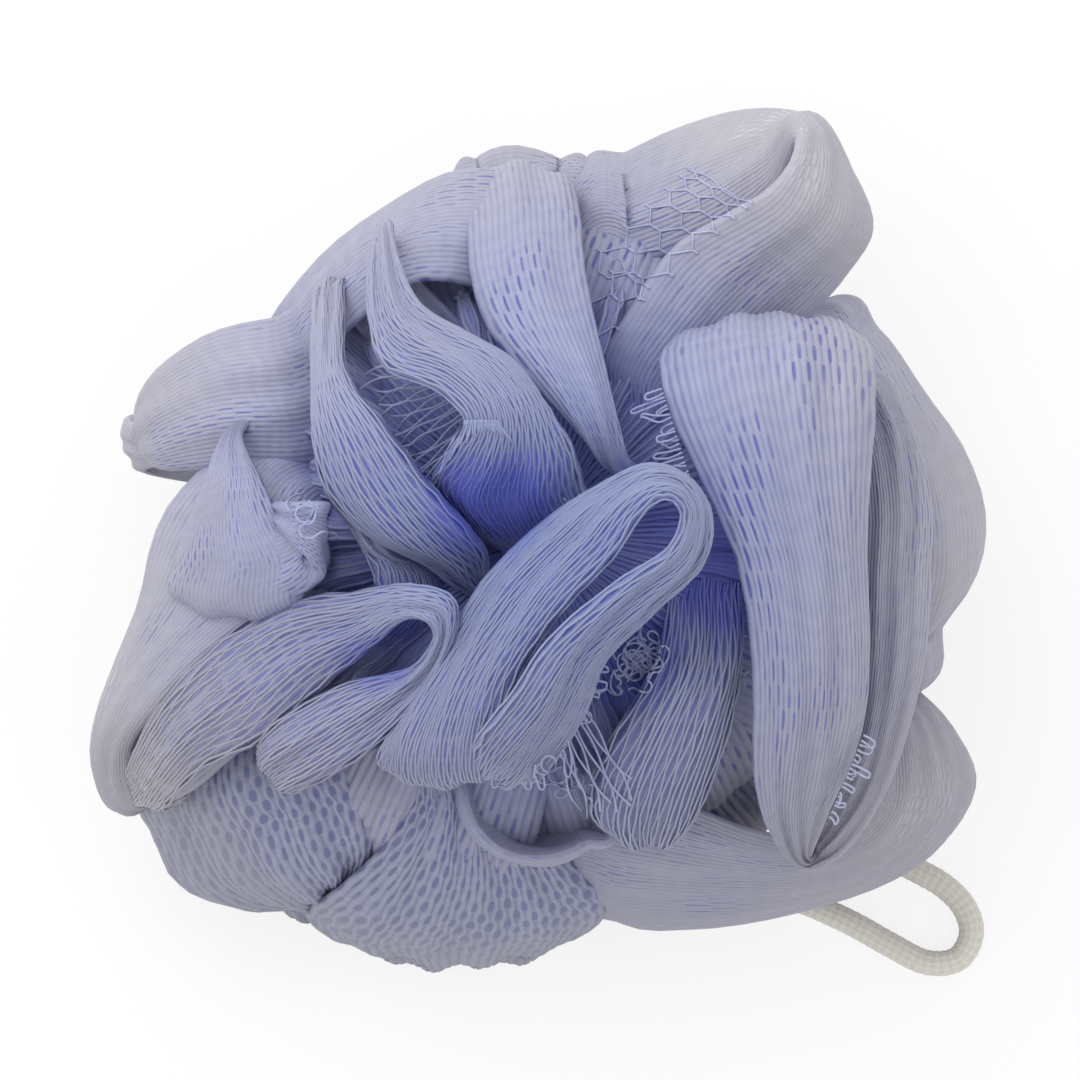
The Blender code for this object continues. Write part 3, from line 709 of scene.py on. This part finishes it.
def fromMiddle(f):
    # how far out a point lies, 1 at the pouf's outside and further out below a level, for the painted light
    # of the paler outside, clouded a little; how much painted shade of deep blue it takes inside and in the
    # hollows; and how much painted shade greys it
    place = f.add("ShaderNodeTexCoord", {}, out=3)
    x, y, z = f.split(place)
    lowest, run = netFinish["under"]
    inside, height = netFinish["rise"]
    cloud = f.add("ShaderNodeTexNoise", {}, place, netFinish["cloudScale"], 1.0)
    out = (x * x + y * y) / netFinish["reach"] ** 2
    under = ((z - lowest) / run).maths("MINIMUM", 0.0)
    rise = (z - inside) / height
    # painted shade: deep blue towards the inside of the pouf and in its hollows
    depth = (netFinish["depthFrom"] - (out + rise * rise) ** 0.5) * netFinish["depthRise"]
    for centre, radius in netFinish["shadedHollows"]:
        away = f.add("ShaderNodeVectorMath", {"operation": "DISTANCE"}, place, tuple(plan(centre)), out=0)
        hollow = (netFinish["hollowReach"] - away / radius).maths("MINIMUM", netFinish["hollowDepth"])
        depth = depth.maths("MAXIMUM", hollow)
    far = (out + under * under) ** 0.5 + (cloud - 0.5) * netFinish["cloud"]
    # painted shade: greyer towards negative y, the side away from the lamp
    shadeGrey = ((netFinish["shadeGreyFrom"] - y) / netFinish["shadeGreyRun"]).within() * netFinish["shadeGreyMost"]
    return far, depth.within(netFinish["deepest"]), shadeGrey


def makeNetMaterial(name, tones):
    f = Finish(name)
    return f.paint(netColour(f, tones, fromMiddle(f)), netFinish["roughness"])


def patches(f, place, scale):
    # soft patches in the pattern's plane, stretched along the strands
    stretched = f.add("ShaderNodeMapping", {}, place, Scale=scale)
    return f.add("ShaderNodeTexNoise", {"noise_dimensions": "2D"}, stretched, Scale=1.0, Detail=2.0)


lining = {
    "patches": (0.22, 0.16, 1.0),
    "slitEnds": 4,  # how sharply a slit ends on both sides
    "contrast": 4.0,
    "streaksFrom": 0.48,
    "streaks": 0.2,
    "layerShift": (0.9, 0.7),  # how far a layer further down lies aside, in radians of a cell
    "layerWidth": 2.4,
    "roughness": 0.6,
}


def makeLiningMaterial(name, tones, slitTones, edge, crossed=0.0):
    # the layers underneath in the darker lining tones, painted shade, with a slit between each two strands
    # where they part and streaks, both in the deep slit tones as painted shade
    f = Finish(name)
    place = f.add("ShaderNodeTexCoord", {}, out=2)
    across, along = f.split(place)[:2]
    side = (across * math.pi).maths("COSINE")
    parted = side * (along * math.pi).maths("COSINE") * side.maths("ABSOLUTE") ** lining["slitEnds"]
    slit = ((parted - edge) * lining["contrast"]).within()
    noise = patches(f, place, lining["patches"])
    streak = ((noise - lining["streaksFrom"]) * lining["contrast"]).within()
    spread = fromMiddle(f)
    # painted shade: slits and streaks take the deep slit tones
    mixed = f.mix(slit * (noise * 1.3 + 0.2) + streak * lining["streaks"],
                  netColour(f, tones, spread), netColour(f, slitTones, spread))
    if crossed:  # the strands of a layer further down
        aside, onward = lining["layerShift"]
        far = (across * math.pi + aside).maths("COSINE") + (along * math.pi + onward).maths("COSINE")
        far = (1 - far.maths("ABSOLUTE") * lining["layerWidth"]).maths("MAXIMUM", 0.0) * crossed
        mixed = f.mix(far, mixed, netColour(f, "openStrands", spread))
    return f.paint(mixed, lining["roughness"])


woven = {
    "patches": (0.12, 0.24, 1.0),
    "slitFrom": 0.1,
    "edge": 0.06,
    "contrast": (2.5, 3.5, 5.0),  # how sharp slits are across, along and where patches of them begin
    "bands": 0.9,
    "slant": 0.06,
    "bandDepth": 0.16,
    # painted shade and light: grooves darker and rib tops lighter by this share, over a share of the darker
    # groove tones all over
    "grooves": 0.30,
    "shade": 0.36,
}


def makeWovenMaterial(name, ribs, grooves, slits, gate):
    # ribs lighter on top and the grooves between them darker, painted light and shade; slits where they
    # part in the deep slit tones, painted shade; and faint bands from the layer behind
    f = Finish(name)
    place = f.add("ShaderNodeTexCoord", {}, out=2)
    across, along = f.split(place)[:2]
    groove = (across * (2 * math.pi)).maths("COSINE")
    parted = (across * math.pi).maths("COSINE") * (along * math.pi).maths("COSINE")
    noise = patches(f, place, woven["patches"])
    sharp, sharpAlong, sharpPatch = woven["contrast"]
    slit = ((groove - woven["slitFrom"]) * sharp).within()
    slit = slit * ((parted - woven["edge"]) * sharpAlong).within()
    slit = slit * ((noise - gate) * sharpPatch).within()
    band = (along * woven["bands"] + across * woven["slant"] + noise * 3.0) * (2 * math.pi)
    band = band.maths("SINE") * woven["bandDepth"] + groove * woven["grooves"] + woven["shade"]
    spread = fromMiddle(f)
    mixed = f.mix(band.maths("MAXIMUM", 0.0), netColour(f, ribs, spread), netColour(f, grooves, spread))
    # painted shade: slits in the deep slit tones
    mixed = f.mix(slit, mixed, netColour(f, slits, spread))
    return f.paint(mixed, netFinish["roughness"])


wovenMaterial = makeWovenMaterial("wovenNetting", "strands", "lining", "slits", 0.46)
openWovenMaterial = makeWovenMaterial("openWovenNetting", "openStrands", "openLining", "openSlits", 0.20)
netMaterial = makeNetMaterial("netting", "strands")
openNetMaterial = makeNetMaterial("openNetting", "openStrands")
liningMaterial = makeLiningMaterial("liningNet", "lining", "slits", 0.14)
openLiningMaterial = makeLiningMaterial("openLiningNet", "openLining", "openSlits", 0.10, crossed=0.7)


# Loops that fill the pouf between the named folds, and those that it rests on. Each turns back at its
# own share of the half width, and its profile is share of the turn, level and half width
innerLoops = {
    "turns": (72, 66, 70, 66, 70, 74, 66, 62),
    "start": 0.5,
    "profile": ((0.10, 50, 6), (0.45, 49, 20), (0.80, 43, 25), (0.97, 35, 26),
                (0.97, 27, 25), (0.80, 24, 23), (0.45, 28, 16), (0.10, 34, 6)),
}
underLoops = {
    "turns": (76, 68, 64, 76, 80, 76),
    "start": 0.25,
    "profile": ((0.12, 33, 6), (0.60, 31, 20), (0.93, 24, 27), (1.00, 12, 27),
                (0.90, 0, 24), (0.55, 0, 20), (0.12, 22, 6)),
}


def loopRows(loops, index):
    # the rows of one loop, swung round to its own bearing
    bearing = 2 * math.pi * (index + loops["start"]) / len(loops["turns"])
    out = np.array([math.cos(bearing), math.sin(bearing)])
    side = np.array([-out[1], out[0]])
    rows = []
    for share, level, half in loops["profile"]:
        centre = out * loops["turns"][index] * share
        rows.append(((*(centre - side * half), level), (*(centre + side * half), level)))
    return rows


gauze = {"pitch": 0.00075, "rib": 0.00009, "slit": 0.22, "pleatDepth": 0.00022}
ribbed = {"pitch": 0.0010, "rib": 0.00020, "slit": 0.34, "step": 0.0050, "groove": 0.12}
fine = {"woven": False, "fullness": 1.3, "strand": 0.00024, "pitch": 0.00058, "slit": 0.42,
        "step": 0.0042, "round": 2, "inset": 0.0}
diamonds = {"open": True, "pitch": 0.0013, "rib": 0.00022, "groove": 0.10, "slit": 0.66, "step": 0.0029,
            "pleatDepth": 0.00045}
slack = {"woven": False, "open": True, "fullness": 1.3, "pitch": 0.00075, "strand": 0.00024, "slit": 0.44,
         "step": 0.0060, "round": 2, "inset": 0.0001}
hidden = {"pitch": 0.0013, "rib": 0.00025, "step": 0.0050, "slit": 0.30}
foldChanges = {
    "centreLoop": fine,
    "upperWave": fine,
    "leftLongFold": fine,
    "leftCurl": fine,
    "smallLoop": fine,
    "farRightSheet": gauze,
    "leftOuter": gauze,
    "upperLeftDome": gauze,
    "topTab": gauze,
    "lowerRightSheet": gauze,
    "leftSweep": gauze,
    "leftCone": gauze,
    "coneLip": gauze,
    "upperRightPetal": gauze,
    "bottomCup": {**gauze, "pitch": 0.00055, "slit": 0.08},
    "rightFold": ribbed,
    "bottomPetal": diamonds,
    "bottomLeftPetal": diamonds,
    "frontFan": slack,
}
allRows = dict(foldRows)
for kind, loops in (("innerLoop", innerLoops), ("underLoop", underLoops)):
    for index in range(len(loops["turns"])):
        name = f"{kind}{index + 1}"
        allRows[name] = loopRows(loops, index)
        foldChanges[name] = hidden
total = 0
for number, (name, rows) in enumerate(allRows.items()):
    faces = netFold(name, rows, number, **foldChanges.get(name, {}))
    total += faces
    print("fold", name, faces)
print("net triangles", total)


gather = {
    "waist": 0.0060,
    "waistLevel": 0.0370,
    "waistHeight": 0.0040,
    "lobe": 0.0340,
    "lobeHeight": 0.0120,
    # from the crown to the waist, in shares of a lobe's radius and height
    "outline": [(0.10, 1.0), (0.45, 0.98), (0.80, 0.80), (1.0, 0.45), (0.75, 0.14)],
    "rows": 34,
    "flutes": 30,
    "fluteDepth": 0.10,
    "plain": 0.002,  # flutes begin this far outside the waist
    "strands": 130,
    "linings": 390,
    "wander": 0.0001,
    "seed": 77,
}


def makeGather():
    # the bunched middle: fluted lobes above and below the waist that the binding draws in
    base, top, count = gather["waistLevel"], gather["waistHeight"] / 2, gather["rows"]
    lobe = [(gather["lobe"] * r, top + gather["lobeHeight"] * h) for r, h in gather["outline"]]
    lobe.append((gather["waist"], top))
    profile = [(r, base + rise) for r, rise in lobe] + [(r, base - rise) for r, rise in reversed(lobe)]
    points = [np.array(place) for place in profile]
    line = np.array([spline(points, k / (count - 1)) for k in range(count)])

    def surface(turn, inset=0.0):
        angle = 2 * math.pi * turn
        radius = line[:, 0] - inset
        fluted = radius > gather["waist"] + gather["plain"]
        radius = radius * (1 + gather["fluteDepth"] * np.cos(gather["flutes"] * angle) * fluted)
        return np.stack([radius * np.cos(angle), radius * np.sin(angle), line[:, 1]], axis=1)

    bm = strandNet("gatheredMiddle", surface, count, gather["strands"], gather["linings"],
                   {**net, "wander": gather["wander"]}, np.random.default_rng(gather["seed"]))
    addPiece("gatheredMiddle", bm, [netMaterial, liningMaterial], "mesh_net")


makeGather()
print("gathered middle")


cord = {
    "diameter": 0.0037,
    "rings": 320,
    "sides": 48,
    "carriers": 6,
    "lay": 0.0075,  # the length in which a carrier goes once round
    "body": 0.97,  # the cord's radius between its bumps, as a share of the whole
    "plump": 0.045,
    "yarn": (150, 9000),  # fine lines of the yarn, round the cord and along it
    "roughness": 0.75,
    "colour": colour(226, 223, 215),
    # painted shade for the valleys between the carriers
    "shade": colour(196, 192, 182),
    # from one end under the binding, out along the table, round its loop and back
    "route": [
        (19, -7, 40), (30, -18, 34), (42, -33, 22), (54, -50, 10), (65, -62, 3.2),
        (76, -71.5, 2.2), (84, -75.5, 2.2), (91, -79.5, 2.2), (95.7, -84.5, 2.2), (97.2, -90.5, 2.2),
        (94, -96, 2.2), (87, -96.7, 2.2), (79, -92.8, 2.2), (71, -88.3, 2.2), (63, -84.5, 2.2),
        (53, -80, 2.2), (42, -70, 4), (31, -52, 14), (22, -33, 28), (13, -16, 40),
    ],
}


def sweepTube(line, sides, radiusAt):
    # a tube round a line, its radius given at (ring, angle); u runs round in turns and v along in metres
    count = len(line)
    ways = unit(np.gradient(line, axis=0))
    side = unit(np.cross(ways, np.array([0.0, 0.0, 1.0])))
    rise = np.cross(side, ways)
    run = np.concatenate([[0.0], np.cumsum(np.linalg.norm(np.diff(line, axis=0), axis=1))])
    bm = bmesh.new()
    verts = bmesh.ops.create_grid(bm, x_segments=sides, y_segments=count - 1, size=1.0)["verts"]
    pattern = bm.loops.layers.uv.verify()
    places = {}
    for vertex in verts:
        u = round((vertex.co.x + 1) / 2 * sides) / sides
        k = round((vertex.co.y + 1) / 2 * (count - 1))
        angle = 2 * math.pi * u
        places[vertex] = (u, run[k])
        reach = radiusAt(run[k], angle)
        vertex.co = line[k] + reach * (math.cos(angle) * side[k] + math.sin(angle) * rise[k])
    for face in bm.faces:
        face.smooth = True
        for loop in face.loops:
            loop[pattern].uv = places[loop.vert]
    bmesh.ops.remove_doubles(bm, verts=bm.verts, dist=0.000005)
    bmesh.ops.holes_fill(bm, edges=[edge for edge in bm.edges if edge.is_boundary], sides=0)
    bmesh.ops.recalc_face_normals(bm, faces=bm.faces)
    return bm, run[-1]


def makeCordMaterial():
    # braided yarn: fine lay lines in each carrier, ivory, with painted shade, a greyer colour, in the
    # valleys between the carriers
    f = Finish("ivoryCord")
    u, v = f.split(f.add("ShaderNodeTexCoord", {}, out=2))[:2]
    turn, run = u * (2 * math.pi * cord["carriers"]), v * (2 * math.pi / cord["lay"] * cord["carriers"] / 2)
    weave = (turn + run).maths("COSINE") * (turn - run).maths("COSINE")
    yarn = (u * cord["yarn"][0] + v * cord["yarn"][1]).maths("SINE") * 0.5 + 0.5
    # painted shade in the valleys between the carriers, with the yarn lines
    low = (0.45 - weave * 0.5).within()
    mixed = f.mix(low * 0.55 + yarn * 0.12, (*cord["colour"], 1), (*cord["shade"], 1))
    bump = f.add("ShaderNodeBump", {}, Strength=0.35, Distance=0.0002, Height=yarn)
    f.put(f.shader.inputs["Normal"], bump)
    return f.paint(mixed, cord["roughness"])


def makeCord():
    points = [plan(place) for place in cord["route"]]
    line = np.array([spline(points, k / (cord["rings"] - 1)) for k in range(cord["rings"])])

    def radiusAt(run, angle):
        turn, lay = cord["carriers"] * angle, 2 * math.pi / cord["lay"] * cord["carriers"] / 2 * run
        bumps = cord["plump"] * math.cos(turn + lay) * math.cos(turn - lay)
        return cord["diameter"] / 2 * (cord["body"] + bumps)

    bm, length = sweepTube(line, cord["sides"], radiusAt)
    piece = addPiece("hangingCord", bm, [cordMaterial], "hanging_cord")
    print("cord", round(float(length), 4))


cordMaterial = makeCordMaterial()
makeCord()

binding = {
    "string": 0.0009,
    "turns": 3,
    "radius": 0.0076,
    "level": 0.0370,
    "rise": 0.0016,
    "rings": 150,
    "sides": 10,
}


def makeBinding():
    # string wound round the waist
    is_ = binding
    places = []
    for k in range(is_["rings"]):
        share = k / (is_["rings"] - 1)
        angle = 2 * math.pi * is_["turns"] * share
        places.append((is_["radius"] * math.cos(angle), is_["radius"] * math.sin(angle),
                       is_["level"] + is_["rise"] * (share - 0.5)))
    bm, length = sweepTube(np.array(places), is_["sides"], lambda run, angle: is_["string"] / 2)
    addPiece("centreBinding", bm, [cordMaterial], "centre_tie")


makeBinding()
print("binding")

# Loose threads: their places are in the units of the folds, and other lengths in metres
threads = {
    "seed": 5,
    "radius": 0.00017,
    "fine": 4,  # points between two places
    "castFrom": 0.12,
    "clear": 0.00012,  # from the net's face below to the middle of a thread
    "under": 0.0035,  # a thread this far below a fold passes behind it
    "above": 0.0030,  # the ends of a thread lie no higher than this over the net
    "free": 0.020,  # and the middle of one that hangs free no higher than this
    # tangles of curls: middle, spread, how many
    "tangles": [((21, -28, 66), (6, 9, 4), 16),
                ((-50, 4, 76), (2.5, 4, 1.5), 3),
                ((3, -52, 78), (9, 3, 2), 4)],
    # open cells: where the strands start and end in a row, the way that each runs, strands and cells
    "cells": [((11, 62, 64), (33, 82, 68), (14, -9, -2), 12, 1.5),
              ((9, 50, 60), (17, 61, 63), (7, -7, -1), 5, 1.0)],
    # strands pulled out of an edge: first root and last, the way they come, tips, how many, how they cross
    "veils": [((-25, 37, 72), (-12, 25, 76), (2, 1, 0), (-40, 36, 64), (-29, 10, 66), 17, 1.2),
              ((-17.5, 24, 84), (-9, 24, 83), (-0.6, 1, 0), (-28, 6, 66), (11, 0, 69), 20, 0.9),
              ((3, -45, 68), (9, -38, 66), (-3, 6, 0), (9, -64, 58), (22, -58, 62), 9, 1.2)],
    # hairpins that hang over an edge: from, to, reach, how many
    "hairpins": [((-13, -49, 74), (5, -46, 72), (0.8, -6.5, -6), 14),
                 ((27, 32, 76), (33, 13, 80), (-4.5, -1.5, -2), 11),
                 ((72, -45, 64), (65, -62, 60), (2.2, -0.6, -2), 9),
                 ((14, -18, 72), (8, -40, 72), (2.5, -2, -3), 12)],
}


def curl(rng, centre, spread):
    # a thread that wanders in loose curls round a place
    place = np.array(centre) + rng.uniform(-0.7, 0.7, 3) * spread
    heading, bend = rng.uniform(0, 2 * math.pi), rng.choice([-1, 1]) * rng.uniform(0.35, 0.6)
    points = [place]
    for step in range(18):
        if rng.random() < 0.16:
            bend = -bend
        heading += bend * rng.uniform(0.6, 1.3)
        rise = (centre[2] - place[2]) * 0.1 + rng.normal(0, 0.35)
        home = (np.array(centre) - place)[:2] * 0.06
        place = place + np.array([math.cos(heading) + home[0], math.sin(heading) + home[1], rise])
        points.append(place)
    return points


def openCells(first, last, run, strands, cells):
    # strands in a row that meet at their knots, wide apart at first and crowded at the end
    first, side, run = np.array(first, float), np.subtract(last, first), np.array(run, float)
    lines = []
    for j in range(strands):
        left = 1 - j / (strands - 1)
        gap = side * 1.6 * (left + 0.08) ** 0.6 / (strands - 1)
        points = []
        for k in range(round(8 * cells) + 1):
            share = k / round(8 * cells)
            swing = (-1) ** j * min(max(1.5 * math.cos(2 * math.pi * cells * share), -1), 1) * 0.44
            points.append(first + side * (1 - left**1.6) + run * share + gap * swing)
        lines.append(points)
    return lines


def veil(rng, firstRoot, lastRoot, lead, firstTip, lastTip, count, crossing):
    # strands side by side that leave an edge one way, turn down and cross each other on their way
    lines = []
    for k in range(count):
        share = k / (count - 1)
        root = np.array(firstRoot) + np.subtract(lastRoot, firstRoot) * share
        tip = np.array(firstTip) + np.subtract(lastTip, firstTip) * (share + rng.uniform(-0.03, 0.03))
        tip = root + (tip - root) * rng.uniform(0.8, 1.1)
        across = unit(np.array([root[1] - tip[1], tip[0] - root[0], 0.0]))
        points = [root + np.array(lead), root + np.array(lead) * 0.45]
        for n in range(9):
            along = n / 8
            sway = across * (-1) ** k * crossing * along * math.sin(2.2 * math.pi * along)
            drop = np.array([0, 0, -4 * along * (1 - along)])
            points.append(root + (tip - root) * along + sway + drop)
        lines.append(points)
    return lines


def hairpins(rng, start, end, reach, count):
    # narrow bights of thread in a row
    lines = []
    for k in range(count):
        foot = np.array(start) + np.subtract(end, start) * k / (count - 1)
        way = np.array(reach) * rng.uniform(0.5, 1.3)
        wide = unit(np.subtract(end, start)) * rng.uniform(0.4, 0.9)
        lean = rng.normal(0, 0.7, 3)
        lines.append([foot, foot + way * 0.5 + lean * 0.3, foot + way + lean,
                      foot + way * 1.15 + lean + wide, foot + way + lean + wide * 2,
                      foot + way * 0.5 + wide * 2.1, foot + wide * 1.6])
    return lines


def seated(scene, depsgraph, place, above):
    # a thread lies on the net's face or at most so far above it, or well behind it
    start = Vector((place[0], place[1], threads["castFrom"]))
    found, spot = scene.ray_cast(depsgraph, start, Vector((0, 0, -1)))[:2]
    level = place[2]
    if found and spot.z - level < threads["under"]:
        level = min(max(level, spot.z + threads["clear"]), spot.z + threads["clear"] + above)
    return np.array([place[0], place[1], level])


def makeThreads():
    rng = np.random.default_rng(threads["seed"])
    near, free = threads["above"], threads["free"]
    lines = [(curl(rng, centre, spread), near, near)
             for centre, spread, count in threads["tangles"] for n in range(count)]
    for row in threads["cells"]:
        lines += [(points, 0.0, 0.0) for points in openCells(*row)]
    for row in threads["veils"]:
        lines += [(points, near, free) for points in veil(rng, *row)]
    for row in threads["hairpins"]:
        lines += [(points, free, free) for points in hairpins(rng, *row)]
    scene, depsgraph = bpy.context.scene, bpy.context.evaluated_depsgraph_get()
    laid = []
    for points, endsAbove, middleAbove in lines:
        knots = [plan(place) for place in points]
        ticks = threads["fine"] * (len(points) - 1)
        places = []
        for k in range(ticks + 1):
            above = endsAbove + (middleAbove - endsAbove) * math.sin(math.pi * k / ticks)
            places.append(seated(scene, depsgraph, spline(knots, k / ticks), above))
        laid.append(places)
    bm = roundLines("looseThreads", laid, threads["radius"], 1)
    addPiece("looseThreads", bm, [makeThreadMaterial()], "mesh_net")


def makeThreadMaterial():
    f = Finish("looseThread")
    # paler towards the outside: painted light, the white behind shining through
    stops = [(place, colour(*rgb)) for place, rgb in netFinish["threads"]]
    return f.paint(f.add("ShaderNodeValToRGB", {"stops": stops}, fromMiddle(f)[0]), netFinish["roughness"])


makeThreads()
print("threads")


view = {
    "height": 4.0,
    "level": 0.040,  # the level at which the pouf is widest
    "south": -0.0010,
    "framePixels": 1080,
    "poufPixels": 896,
}


def placeCamera():
    # straight down, from far enough that the folds' heights hardly shift them
    data = bpy.data.cameras.new("camera")
    camera = bpy.data.objects.new("camera", data)
    bpy.context.scene.collection.objects.link(camera)
    frameWidth = 2 * halfWidth * view["framePixels"] / view["poufPixels"]
    data.lens = data.sensor_width * (view["height"] - view["level"]) / frameWidth
    camera.location = (0.0, view["south"], view["height"])
    bpy.context.scene.camera = camera


light = {
    "world": 0.89,
    "watts": 1.2,
    "size": 0.34,
    "place": (-0.16, 0.30, 0.42),
    "floor": 0.95,
    "floorSize": 3.0,
    "floorRoughness": 0.9,
    "shadow": 0.20,  # how much of the floor's own shading the camera sees, the rest is white
}


def lightScene():
    world = bpy.data.worlds.new("studio")
    bpy.context.scene.world = world
    world.use_nodes = True
    sky = world.node_tree.nodes["Background"]
    sky.inputs["Color"].default_value = (1, 1, 1, 1)
    sky.inputs["Strength"].default_value = light["world"]
    lamp = bpy.data.lights.new("softbox", "AREA")
    lamp.energy = light["watts"]
    lamp.size = light["size"]
    holder = bpy.data.objects.new("softbox", lamp)
    holder.location = light["place"]
    holder.rotation_euler = (middle - holder.location).to_track_quat("-Z", "Y").to_euler()
    bpy.context.scene.collection.objects.link(holder)
    bm = bmesh.new()
    bmesh.ops.create_grid(bm, x_segments=1, y_segments=1, size=light["floorSize"])
    mesh = bpy.data.meshes.new("floor")
    bm.to_mesh(mesh)
    bm.free()
    floor = bpy.data.objects.new("floor", mesh)
    bpy.context.scene.collection.objects.link(floor)
    f = Finish("floor")
    f.paint((light["floor"],) * 3 + (1,), light["floorRoughness"])
    white = f.add("ShaderNodeEmission", {})
    seen = f.add("ShaderNodeLightPath", {}) * (1 - light["shadow"])
    mixed = f.add("ShaderNodeMixShader", {}, seen, Value(f, f.shader.outputs[0]), white)
    f.put(f.output.inputs["Surface"], mixed)
    mesh.materials.append(f.material)


placeCamera()
lightScene()
bpy.context.scene.view_settings.view_transform = "Standard"
